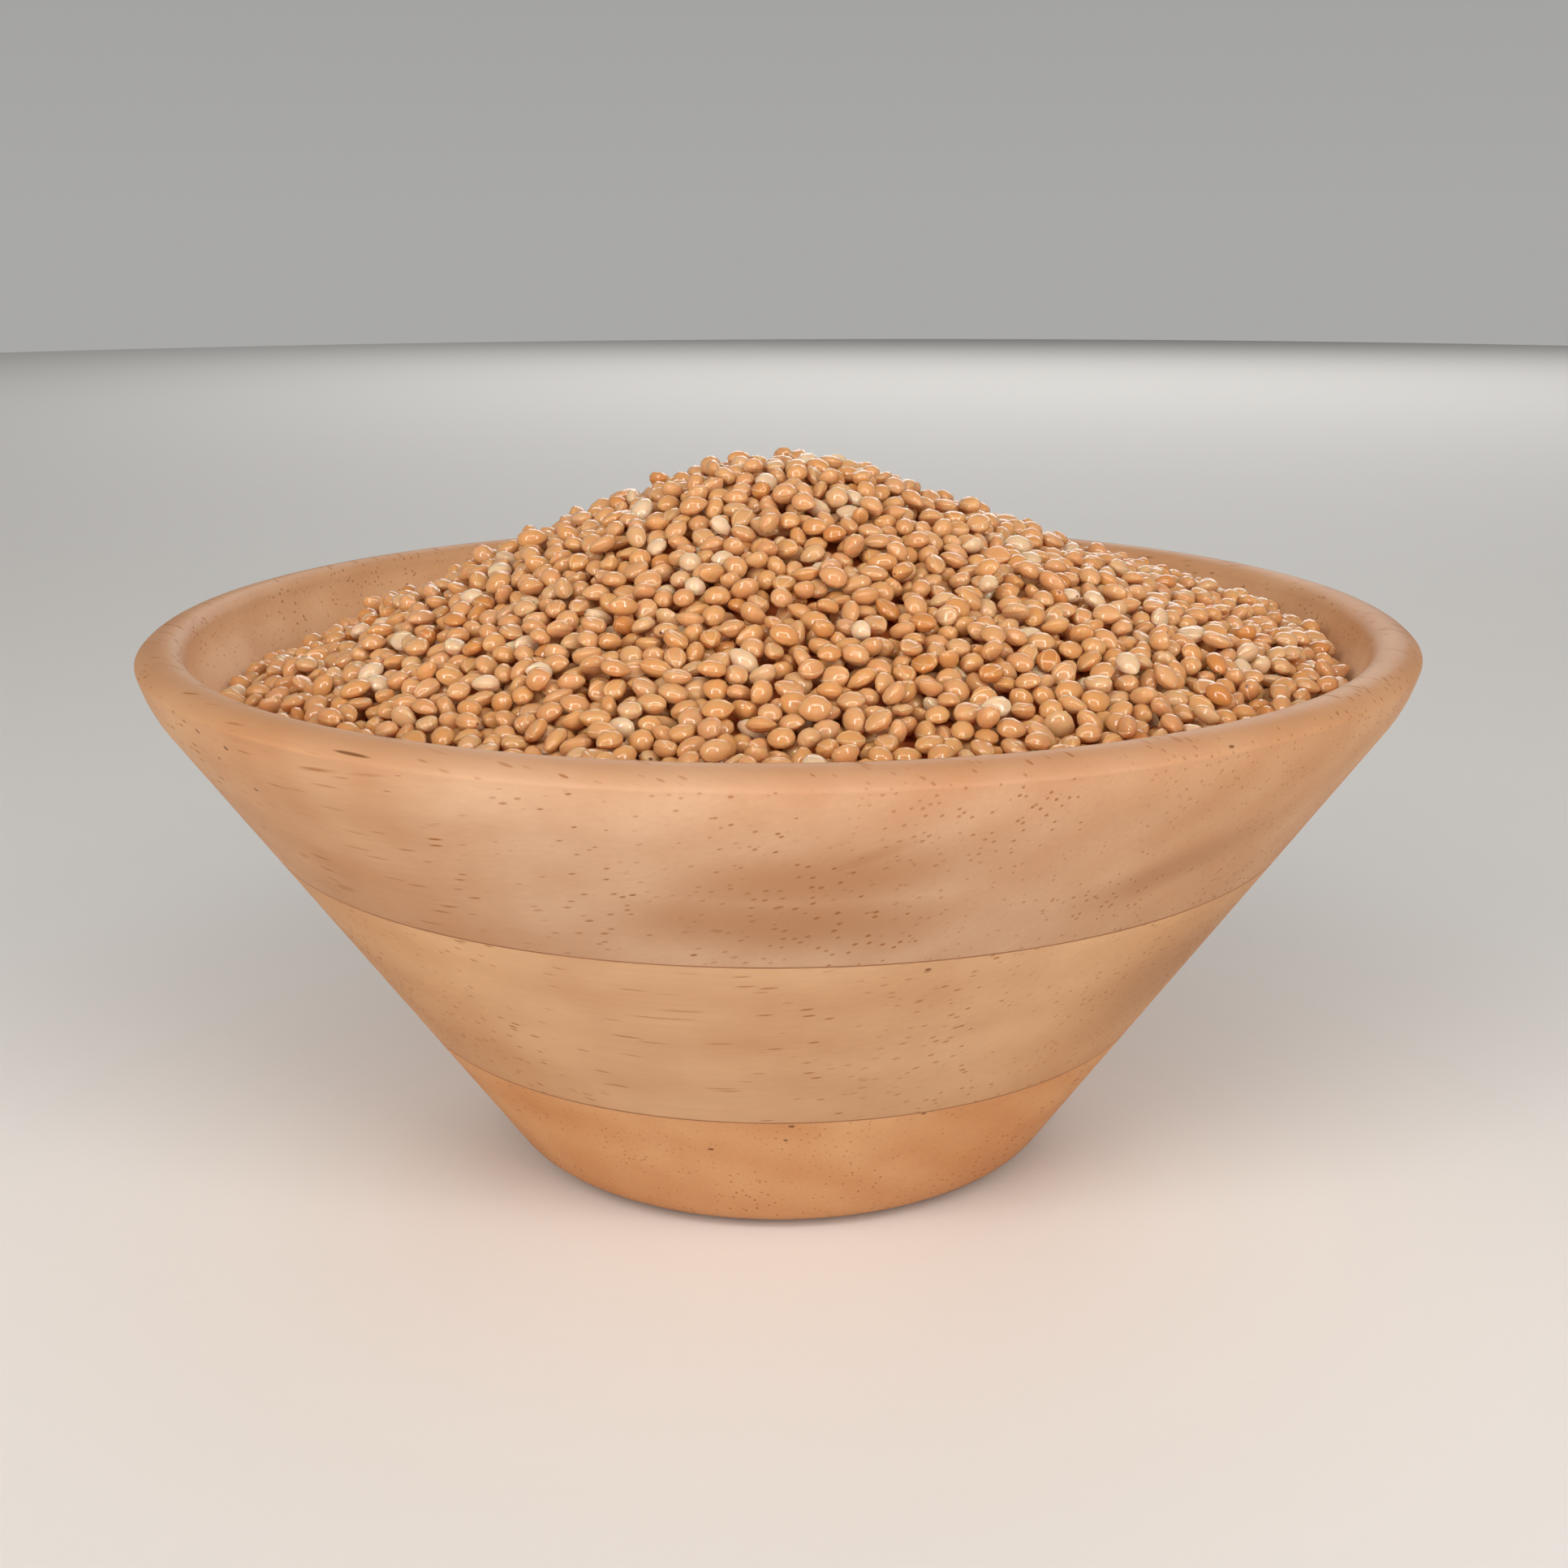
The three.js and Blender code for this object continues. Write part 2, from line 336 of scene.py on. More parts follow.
    tinted = add_node(
        tree, "ShaderNodeVectorMath", {"operation": "MULTIPLY"},
        {0: threaded.outputs["Vector"], 1: painted_light_tint.outputs[1]},
    )
    ground_tone = tinted.outputs["Vector"]
    # The third tone is mixed in over the stain patches and over the patches of painted shade.
    if stains_and_shade:
        ground_tone = add_node(
            tree, "ShaderNodeMix", {"data_type": "RGBA", 7: linear(stain_and_shade_tone)},
            {0: stain_and_shade_edge, 6: ground_tone},
        ).outputs[2]
    coloured = add_node(
        tree, "ShaderNodeMix", {"data_type": "RGBA", 7: linear(VESSEL_TONE)},
        {0: vessel_share.outputs["Value"], 6: ground_tone},
    )
    if marks:
        mark_edge = add_node(
            tree, "ShaderNodeMapRange", {"From Min": 1.15, "From Max": 0.7, "To Max": 0.85},
            {"Value": wood_marks(tree, place.outputs["Object"], marks)},
        )
        coloured = add_node(
            tree, "ShaderNodeMix", {"data_type": "RGBA", 7: linear(MARK_TONE)},
            {0: mark_edge.outputs["Result"], 6: coloured.outputs[2]},
        )
    roughness = add_node(
        tree, "ShaderNodeMapRange", {"To Min": 0.45, "To Max": 0.7},
        {"Value": vessel.outputs["Result"]},
    )
    relief = add_node(
        tree, "ShaderNodeMath", {"operation": "MULTIPLY_ADD", 1: -1.0},
        {0: vessel.outputs["Result"], 2: thread.outputs["Fac"]},
    )
    bump = add_node(
        tree, "ShaderNodeBump", {"Strength": 0.2, "Distance": VESSEL_RELIEF},
        {"Height": relief.outputs["Value"]},
    )
    surface.inputs["IOR"].default_value = 1.5
    surface.inputs["Specular IOR Level"].default_value = 0.08
    tree.links.new(coloured.outputs[2], surface.inputs["Base Color"])
    tree.links.new(roughness.outputs["Result"], surface.inputs["Roughness"])
    tree.links.new(bump.outputs["Normal"], surface.inputs["Normal"])
    return material


base_top = base_high.z
base_board = turned_board(
    "bowl_base_board",
    [
        (0, 0),
        (BASE_RADIUS, 0),
        (outside_radius(base_top), base_top),
        (inside_radius(base_top), base_top),
        (inside_radius(FLOOR_THICKNESS), FLOOR_THICKNESS),
        (0, FLOOR_THICKNESS),
    ],
    {1: (BASE_EDGE_REACH, 6), 2: (GLUE_EDGE_CHAMFER, 1), 4: (INSIDE_CORNER_REACH, 8)},
    closed=False,
)
BASE_MARKS = [
    (1.5, 41.8, 17.2, 0.7, 0.5, 0.5, 0), (0.7, 40.3, 15.0, 0.5, 0.4, 0.4, 0),
    (-10.4, 39.0, 13.2, 0.7, 0.45, 0.45, 0), (20.0, 42.0, 17.5, 0.6, 0.4, 0.4, 0),
]
# Painted shade: the foot is painted a little deeper in tone where it stands on the floor.
BASE_FOOT_SHADE = [(0, 0, 0, 140, 20, 140, 0)]
# Light, deep, and the painted shade's tone.
BASE_TONES = ("#d4a577", "#be8151", "#b47646")
base_board.data.materials.append(
    oiled_rubberwood("rubberwood_base", 78, (12, -30), BASE_TONES, BASE_MARKS, BASE_FOOT_SHADE, 1.0)
)
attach(base_board, "root")
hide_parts("bowl_base_layer")


# ---------------------------------------------------------------------------
# Middle board. A ring of the sloping wall, from the blank's second board,
# glued flat to the base board with its fibres turned another way.
# ---------------------------------------------------------------------------

middle_foot, middle_top = middle_low.z, middle_high.z
middle_board = turned_board(
    "bowl_middle_board",
    [
        (outside_radius(middle_foot), middle_foot),
        (outside_radius(middle_top), middle_top),
        (inside_radius(middle_top), middle_top),
        (inside_radius(middle_foot), middle_foot),
    ],
    {0: (GLUE_EDGE_CHAMFER, 1), 1: (GLUE_EDGE_CHAMFER, 1)},
    closed=True,
)
MIDDLE_MARKS = [(13.7, 56.8, 38.6, 0.7, 0.4, 0.4, 0)]
# Painted shade: the board is painted browner and darker at its right, where less light reaches it.
MIDDLE_RIGHT_SHADE = [(52, 51.5, 30, 42, 30, 26, 0)]
# Light, deep, and the painted shade's tone.
MIDDLE_TONES = ("#d6ac85", "#c2926a", "#a97850")
middle_board.data.materials.append(
    oiled_rubberwood(
        "rubberwood_middle", -12, (-20, -45), MIDDLE_TONES, MIDDLE_MARKS, MIDDLE_RIGHT_SHADE, 2.3
    )
)
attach(middle_board, "root")
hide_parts("bowl_middle_layer")


# ---------------------------------------------------------------------------
# Rim board. The top board. From a soft shoulder its wall stands up more
# steeply to a crisp outer edge, and the lip between that edge and the softer
# inner one is a low arc, turned with a skew and lightly sanded.
# ---------------------------------------------------------------------------

SHOULDER_HEIGHT = 56 * MM
SHOULDER_REACH = 2 * MM
INSIDE_SHOULDER_HEIGHT = 57.5 * MM
LIP_OUTER_EDGE = Vector((70, 59.45)) * MM
LIP_INNER_EDGE = Vector((65, 60.45)) * MM
LIP_BOW = 1.05 * MM
LIP_STEPS = 10
OUTER_EDGE_REACH = 0.25 * MM
INNER_EDGE_REACH = 0.9 * MM

rim_foot = rim_low.z
across_lip = LIP_INNER_EDGE - LIP_OUTER_EDGE
# The lip's top is a parabola, so the point that steers it stands twice as high as the bow.
bow_direction = Vector((across_lip.y, -across_lip.x)).normalized()
crown = (LIP_OUTER_EDGE + LIP_INNER_EDGE) / 2 + bow_direction * 2 * LIP_BOW
# The arc stops short of the inner edge, which leaves room for its rounding.
lip_arc = []
for step in range(1, LIP_STEPS - 1):
    share = step / LIP_STEPS
    rising = LIP_OUTER_EDGE.lerp(crown, share)
    lip_arc.append(tuple(rising.lerp(crown.lerp(LIP_INNER_EDGE, share), share)))
inner_edge = 3 + len(lip_arc)
rim_board = turned_board(
    "bowl_rim_board",
    [
        (outside_radius(rim_foot), rim_foot),
        (outside_radius(SHOULDER_HEIGHT), SHOULDER_HEIGHT),
        tuple(LIP_OUTER_EDGE),
        *lip_arc,
        tuple(LIP_INNER_EDGE),
        (inside_radius(INSIDE_SHOULDER_HEIGHT), INSIDE_SHOULDER_HEIGHT),
        (inside_radius(rim_foot), rim_foot),
    ],
    {
        0: (GLUE_EDGE_CHAMFER, 1), 1: (SHOULDER_REACH, 4), 2: (OUTER_EDGE_REACH, 3),
        inner_edge: (INNER_EDGE_REACH, 5), inner_edge + 1: (SHOULDER_REACH / 2, 3),
    },
    closed=True,
)
# Flecks by the left edge, one at the right, and a short dark crack along the lip.
RIM_MARKS = [
    (-51.2, 69.66, 58.34, 0.9, 0.35, 0.5, 20), (-47.0, 69.43, 57.62, 0.8, 0.4, 0.5, 20),
    (-49.3, 68.79, 56.04, 0.5, 0.3, 0.4, 0), (-46.3, 67.12, 53.39, 0.8, 0.35, 0.5, 0),
    (34.5, 69.6, 59.9, 0.7, 0.35, 0.35, 0), (-32.1, 69.48, 59.99, 4.6, 0.3, 0.4, 2),
]
# Three darker patches across the front, a growth band that slants up at its right, two long thin
# streaks under the crack, and painted shade that darkens the top of the lip, which faces up.
RIM_STAINS_AND_SHADE = [
    (0.5, 61.3, 45.0, 44.0, 12.0, 18.0, 0), (5.5, 66.1, 52.0, 18.0, 3.4, 12.0, -23),
    (3.0, 64.8, 50.0, 40.0, 11.0, 20.0, -6), (36.0, 62.6, 47.0, 34.0, 7.0, 20.0, -14),
    (-35.6, 69.55, 57.97, 7.5, 0.6, 1.2, -5), (-30.6, 69.68, 58.4, 6.5, 0.5, 1.2, -5),
    # Painted shade: the top of the lip, painted darker.
    (0, 0, 61.6, 300, 8.0, 300, 0),
]
# Light, deep, and the tone of the stain patches and of the painted shade.
RIM_TONES = ("#cfa787", "#bd8b66", "#af7c56")
rim_board.data.materials.append(
    oiled_rubberwood("rubberwood_rim", -39, (25, 5), RIM_TONES, RIM_MARKS, RIM_STAINS_AND_SHADE, 4.1)
)
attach(rim_board, "root")
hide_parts("bowl_rim_layer")


# ---------------------------------------------------------------------------
# Glue lines. A hair of brown wood glue fills the tiny groove between boards
# and shows as a dark thread round the bowl.
# ---------------------------------------------------------------------------

GLUE_INSET = 0.05 * MM
GLUE_HALF_HEIGHT = 0.09 * MM
GLUE_DEPTH = 0.6 * MM
GLUE_CLOUD = 6 * MM


def glue_line(name, joint_height):
    outer = outside_radius(joint_height) - GLUE_INSET
    low, high = joint_height - GLUE_HALF_HEIGHT, joint_height + GLUE_HALF_HEIGHT
    inner = outer - GLUE_DEPTH
    line = turned_board(name, [(outer, low), (outer, high), (inner, high), (inner, low)], {}, closed=True)
    line.data.materials.append(dried_glue)
    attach(line, "root")


# Dried wood glue, rubbed with oil: dull dark brown, broken by thin and thick stretches.
dried_glue, glue_tree, glue_surface = new_material("dried_wood_glue")
glue_place = add_node(glue_tree, "ShaderNodeTexCoord")
glue_cloud = add_node(
    glue_tree, "ShaderNodeTexNoise", {"Scale": 1 / GLUE_CLOUD, "Detail": 2.0},
    {"Vector": glue_place.outputs["Object"]},
)
glue_tone = add_node(
    glue_tree, "ShaderNodeMix",
    {"data_type": "RGBA", 6: linear("#7a4a2c"), 7: linear("#a8754c")},
    {0: glue_cloud.outputs["Fac"]},
)
glue_tree.links.new(glue_tone.outputs[2], glue_surface.inputs["Base Color"])
glue_surface.inputs["Roughness"].default_value = 0.7

glue_line("glue_line_lower", base_top)
glue_line("glue_line_upper", middle_top)


# ---------------------------------------------------------------------------
# Heap core. The grains that lie too deep to see, as one solid that fills the
# bowl to just under the outermost grains, with a grain-sized relief.
# ---------------------------------------------------------------------------

# The heap's sizes, here and for the grains, are in millimetres.
HEAP_PEAK = (-1.0, 5.0, 78.2)
HEAP_TIP_ROUND = 7.7
HEAP_FALL_LEFT = 0.49
HEAP_FALL_RIGHT = 0.4
HEAP_SPREAD = 0.0004
# Where the heap stands higher or lower: across, back, height and reach.
HEAP_SWELLS = [
    (10, 5, 0.6, 8), (38, 8, -1.1, 8), (55, 8, 0.7, 7), (-8, 2, -0.3, 6), (-55, 18, -1.3, 8),
]
CORE_DEPTH = 3.6
CORE_WALL_GAP = 0.3
CORE_SIDE_HEIGHTS = (16, 30, 44)
CORE_TOP_REACH = 60
CORE_TOP_HEIGHT = 55
CORE_RING_STEP = 0.9
CORE_RELIEF = 0.5
CORE_RELIEF_SINK = 0.6
CORE_SMOOTH_EDGE = 0.995
CONTACT_SEARCH = (40, 66, 0.05)


def heap_height(x, y):
    """The heap's outer form over the bowl, all in millimetres: a round-topped, uneven cone."""
    distance = np.hypot(x - HEAP_PEAK[0], y - HEAP_PEAK[1])
    rightness = 0.5 + 0.5 * (x - HEAP_PEAK[0]) / np.maximum(distance, 1e-6)
    fall = HEAP_FALL_LEFT + (HEAP_FALL_RIGHT - HEAP_FALL_LEFT) * rightness
    drop = fall * (np.hypot(distance, HEAP_TIP_ROUND) - HEAP_TIP_ROUND)
    height = HEAP_PEAK[2] - drop + HEAP_SPREAD * distance ** 2
    for swell_x, swell_y, swell, reach in HEAP_SWELLS:
        height = height + swell * np.exp(-((x - swell_x) ** 2 + (y - swell_y) ** 2) / reach ** 2)
    return height


def wall_height(radius):
    """How high the bowl's inside wall stands at a distance from its axis, in millimetres."""
    return (radius - inside_radius(0) / MM) / WALL_LEAN


def core_contact(turn):
    """How far from the axis the core's top meets the wall, in one direction."""
    reach = np.arange(*CONTACT_SEARCH)
    gap = wall_height(reach + CORE_WALL_GAP)
    top = heap_height(reach * math.cos(turn), reach * math.sin(turn)) - CORE_DEPTH
    return reach[np.argmax(gap > top)]


# The core is turned with a near flat top, and then its top is moved out to the wall and up to the
# heap's form.
core_floor = FLOOR_THICKNESS / MM + CORE_WALL_GAP
core_outline = [
    (0, core_floor),
    (inside_radius(core_floor * MM) / MM - INSIDE_CORNER_REACH / MM, core_floor),
]
core_outline += [(inside_radius(z * MM) / MM - CORE_WALL_GAP, z) for z in CORE_SIDE_HEIGHTS]
top_steps = int(CORE_TOP_REACH / CORE_RING_STEP)
for step in range(top_steps + 1):
    core_outline.append((CORE_TOP_REACH * (1 - step / top_steps), CORE_TOP_HEIGHT + step / top_steps))
heap_core = turned_board("millet_core", [(r * MM, z * MM) for r, z in core_outline], {}, closed=False)
relief_rng = np.random.default_rng(5)
core_edges = {}
for vertex in heap_core.data.vertices:
    x, y, z = vertex.co / MM
    if z < (CORE_SIDE_HEIGHTS[-1] + CORE_TOP_HEIGHT) / 2:
        continue
    turn = round(math.atan2(y, x), 4)
    if turn not in core_edges:
        core_edges[turn] = core_contact(turn)
    share = math.hypot(x, y) / CORE_TOP_REACH
    x, y = (core_edges[turn] * share * f for f in (math.cos(turn), math.sin(turn)))
    top = heap_height(x, y) - CORE_DEPTH
    if share < CORE_SMOOTH_EDGE:
        top += CORE_RELIEF * (relief_rng.random() - CORE_RELIEF_SINK)
    vertex.co = Vector((x, y, float(top))) * MM

# Painted shade: the deep grains are painted warm red-brown and matt, darker and redder than the husks, as
# grains in deep shade look, and a little lighter on their crowns than between them.
DEEP_GRAIN_SPACING = 2.4 * MM

deep_millet, deep_tree, deep_surface = new_material("millet_husk_painted_shade")
deep_place = add_node(deep_tree, "ShaderNodeTexCoord")
deep_cells = add_node(
    deep_tree, "ShaderNodeTexVoronoi", {"Scale": 1 / DEEP_GRAIN_SPACING},
    {"Vector": deep_place.outputs["Object"]},
)
deep_shade_tone = add_node(
    deep_tree, "ShaderNodeMix",
    {"data_type": "RGBA", 6: linear("#c96a2e"), 7: linear("#9c4012")},
    {0: deep_cells.outputs["Distance"]},
)
deep_tree.links.new(deep_shade_tone.outputs[2], deep_surface.inputs["Base Color"])
deep_surface.inputs["Roughness"].default_value = 0.6

heap_core.data.materials.append(deep_millet)
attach(heap_core, "root")
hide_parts("millet_heap")


# ---------------------------------------------------------------------------
# Millet grains. Whole grains in their glossy husk, each a little different,
# poured on the core: every grain drops to the lowest place that it finds
# near its landing, and grains are laid until none fits under the heap's form.
# ---------------------------------------------------------------------------

GRAIN_HALF_LENGTH = 1.4
GRAIN_HALF_WIDTH = 1.12
GRAIN_HALF_DEPTH = 0.92
GRAIN_SIZE_SPREAD = 0.08
GRAIN_AROUND = 12
GRAIN_RINGS = 6
PITCH_SPREAD = math.radians(20)
ROLL_SPREAD = math.radians(40)
# The pour is worked out on a raster seen from above. Reaches and steps are in its cells.
RASTER = 0.1
RASTER_HALF = 66.0
LANDING_REACH = 8
LANDING_STEP = 2
ROOM_STEP = 4
HEAP_LIFT = 0.2
USUAL_RISE = 0.3
HIGHEST_GRAIN = 78.6
LEAST_ROOM = 1.25
POUR_ROUNDS = 26
TRIES_A_ROUND = 1600
# A grain is made if it shows in more cells than this, or shows at all and lies less deep than this.
CLEARLY_SEEN = 4
DEEPEST_GLIMPSE = 2.2
# Single grains that lie on top of the others and break the heap's outline.
JUTTING_GRAINS = [(2.8, 4.0), (-1.6, 5.2), (-17.6, 9.2), (-24.3, 10.8)]
JUTTING_RISE = 1.7

pour_rng = np.random.default_rng(2611)
raster_places = np.arange(-RASTER_HALF, RASTER_HALF + RASTER / 2, RASTER)
raster_x, raster_y = np.meshgrid(raster_places, raster_places, indexing="ij")
ceiling = heap_height(raster_x, raster_y) + HEAP_LIFT
ground = np.maximum(ceiling - HEAP_LIFT - CORE_DEPTH, wall_height(np.hypot(raster_x, raster_y)))
top_grain = np.full(ground.shape, -1, np.int32)


def random_turn():
    """A lying grain: its length near level with the slope, and its back up, down or sideways."""
    heading = pour_rng.uniform(0, math.tau)
    pitch = pour_rng.normal(0, PITCH_SPREAD)
    roll = pour_rng.normal(0, ROLL_SPREAD) + math.pi * pour_rng.integers(2)
    lie = Matrix.Rotation(heading, 3, "Z") @ Matrix.Rotation(math.pi / 2 + pitch, 3, "X")
    return np.array(lie @ Matrix.Rotation(roll, 3, "Z"))


def grain_reliefs(axes, turn):
    """A grain's under and upper faces over the raster, from its middle."""
    form = turn @ np.diag(1 / axes ** 2) @ turn.T
    spread = np.linalg.inv(form)
    half_x, half_y = (int(math.sqrt(spread[i, i]) / RASTER) + 1 for i in (0, 1))
    u, v = np.meshgrid(
        np.arange(-half_x, half_x + 1) * RASTER, np.arange(-half_y, half_y + 1) * RASTER, indexing="ij"
    )
    slant = form[0, 2] * u + form[1, 2] * v
    edge = form[0, 0] * u * u + 2 * form[0, 1] * u * v + form[1, 1] * v * v - 1
    inside = slant ** 2 - form[2, 2] * edge
    depth = np.sqrt(np.maximum(inside, 0))
    lower = np.where(inside > 0, (-slant - depth) / form[2, 2], np.inf)
    upper = np.where(inside > 0, (-slant + depth) / form[2, 2], -np.inf)
    return half_x, half_y, lower, upper


def drop_grain(column, row, axes, turn, most_rise):
    """Lets one grain fall near a place. Gives where it rests, or None if it would stand too high."""
    half_x, half_y, lower, upper = grain_reliefs(axes, turn)
    reach_x, reach_y = half_x + LANDING_REACH, half_y + LANDING_REACH
    if min(column - reach_x, row - reach_y) < 0 or max(column + reach_x, row + reach_y) >= len(ground):
        return None
    near = ground[column - reach_x:column + reach_x + 1, row - reach_y:row + reach_y + 1]
    windows = np.lib.stride_tricks.sliding_window_view(near, lower.shape)
    rests = (windows[::LANDING_STEP, ::LANDING_STEP] - lower).max(axis=(2, 3))
    best = np.unravel_index(rests.argmin(), rests.shape)
    height = rests[best]
    column += best[0] * LANDING_STEP - LANDING_REACH
    row += best[1] * LANDING_STEP - LANDING_REACH
    patch = (slice(column - half_x, column + half_x + 1), slice(row - half_y, row + half_y + 1))
    rise = (height + upper - ceiling[patch]).max()
    if rise > most_rise or height + upper.max() > HIGHEST_GRAIN:
        return None
    return column, row, height, patch, upper


def random_axes():
    """Half a grain's width, depth and length, each a little off the usual."""
    size = 1 + GRAIN_SIZE_SPREAD * pour_rng.normal(size=3)
    return np.array([GRAIN_HALF_WIDTH, GRAIN_HALF_DEPTH, GRAIN_HALF_LENGTH]) * size


def lay_grain(column, row, most_rise):
    """Drops a new grain near a place, and adds it to the heap if it comes to rest there."""
    axes, turn = random_axes(), random_turn()
    rest = drop_grain(column, row, axes, turn, most_rise)
    if rest is None:
        return
    place_x, place_y, height, patch, upper = rest
    raised = height + upper > ground[patch]
    top_grain[patch][raised] = len(grains)
    ground[patch] = np.maximum(ground[patch], height + upper)
    grains.append(((raster_places[place_x], raster_places[place_y], height), axes, turn))


grains = []
for _ in range(POUR_ROUNDS):
    room = ceiling - ground
    open_places = np.argwhere(room[::ROOM_STEP, ::ROOM_STEP] > LEAST_ROOM) * ROOM_STEP
    landings = open_places[pour_rng.integers(len(open_places), size=TRIES_A_ROUND)]
    for column, row in landings:
        if ceiling[column, row] - ground[column, row] < LEAST_ROOM:
            continue
        lay_grain(column, row, pour_rng.exponential(USUAL_RISE))
for x, y in JUTTING_GRAINS:
    column, row = (int((f + RASTER_HALF) / RASTER) for f in (x, y))
    lay_grain(column, row, JUTTING_RISE)

seen_cells = np.bincount(top_grain[top_grain >= 0], minlength=len(grains))


def grain_form(tip, foot, front, lean):
    """One grain: its tip at +Z and its foot at -Z are more pointed the more they get, its front
    at -Y is flatter than its back, and its widest girth lies off the middle by the lean."""
    shape = bmesh.new()
    map_layer = shape.loops.layers.uv.new("OFBake")
    bmesh.ops.create_uvsphere(
        shape, u_segments=GRAIN_AROUND, v_segments=GRAIN_RINGS, radius=1, calc_uvs=True
    )
    places = np.array([vertex.co for vertex in shape.verts])
    for vertex in shape.verts:
        x, y, z = vertex.co
        girth = max(1 - z * z, 1e-6) ** (tip if z > 0 else foot) * (1 - lean * z)
        vertex.co = Vector((x * girth, y * girth * (1 - front * max(-y, 0) ** 2), z))
    shape.verts.index_update()
    points = np.array([vertex.co for vertex in shape.verts])
    faces = [[vertex.index for vertex in face.verts] for face in shape.faces]
    husk_map = np.array([loop[map_layer].uv for face in shape.faces for loop in face.loops])
    shape.free()
    return points, places, faces, husk_map


# Each form's tip, foot, front and lean.
GRAIN_FORMS = [
    grain_form(0.14, 0.03, 0.18, 0.08),
    grain_form(0.28, 0.08, 0.25, 0.12),
    grain_form(0.03, 0.00, 0.12, 0.00),
    grain_form(0.20, 0.18, 0.34, 0.02),
    grain_form(0.38, 0.24, 0.30, 0.10),
    grain_form(0.08, 0.02, 0.22, 0.16),
]

# Kinds of grain by their husk's colour: name, share of the heap, husk, deep tone and pale tone.
GRAIN_KINDS = [
    ("millet_tan", 0.30, "#d39c68", "#ca915c", "#d8a875"),
    ("millet_gold", 0.27, "#d49b62", "#cc9156", "#d9a670"),
    ("millet_peach", 0.20, "#d59d69", "#cd915c", "#dba979"),
    ("millet_cream", 0.06, "#dfbd98", "#d7b089", "#e8cbac"),
    ("millet_straw", 0.07, "#d5a778", "#cb9c69", "#dbb488"),
    ("millet_amber", 0.05, "#ca8a4d", "#c07e41", "#d09255"),
    ("millet_rosy", 0.05, "#d19b6c", "#c78e5e", "#d6a779"),
]
HUSK_SHARE = 0.55
SEAM_PLACE = 0.55
# The seams' pale tone is partly the husk edges' own colour and partly a painted highlight along their
# raised edges.
SEAM_TONE_AND_HIGHLIGHT = "#f0cda6"
SEAM_SHARE = 0.45
SEAM_RELIEF = 0.1 * MM
SCAR_TONE = "#5a3018"
SCARRED_SHARE = 0.04
FAINT_SCAR = 0.25


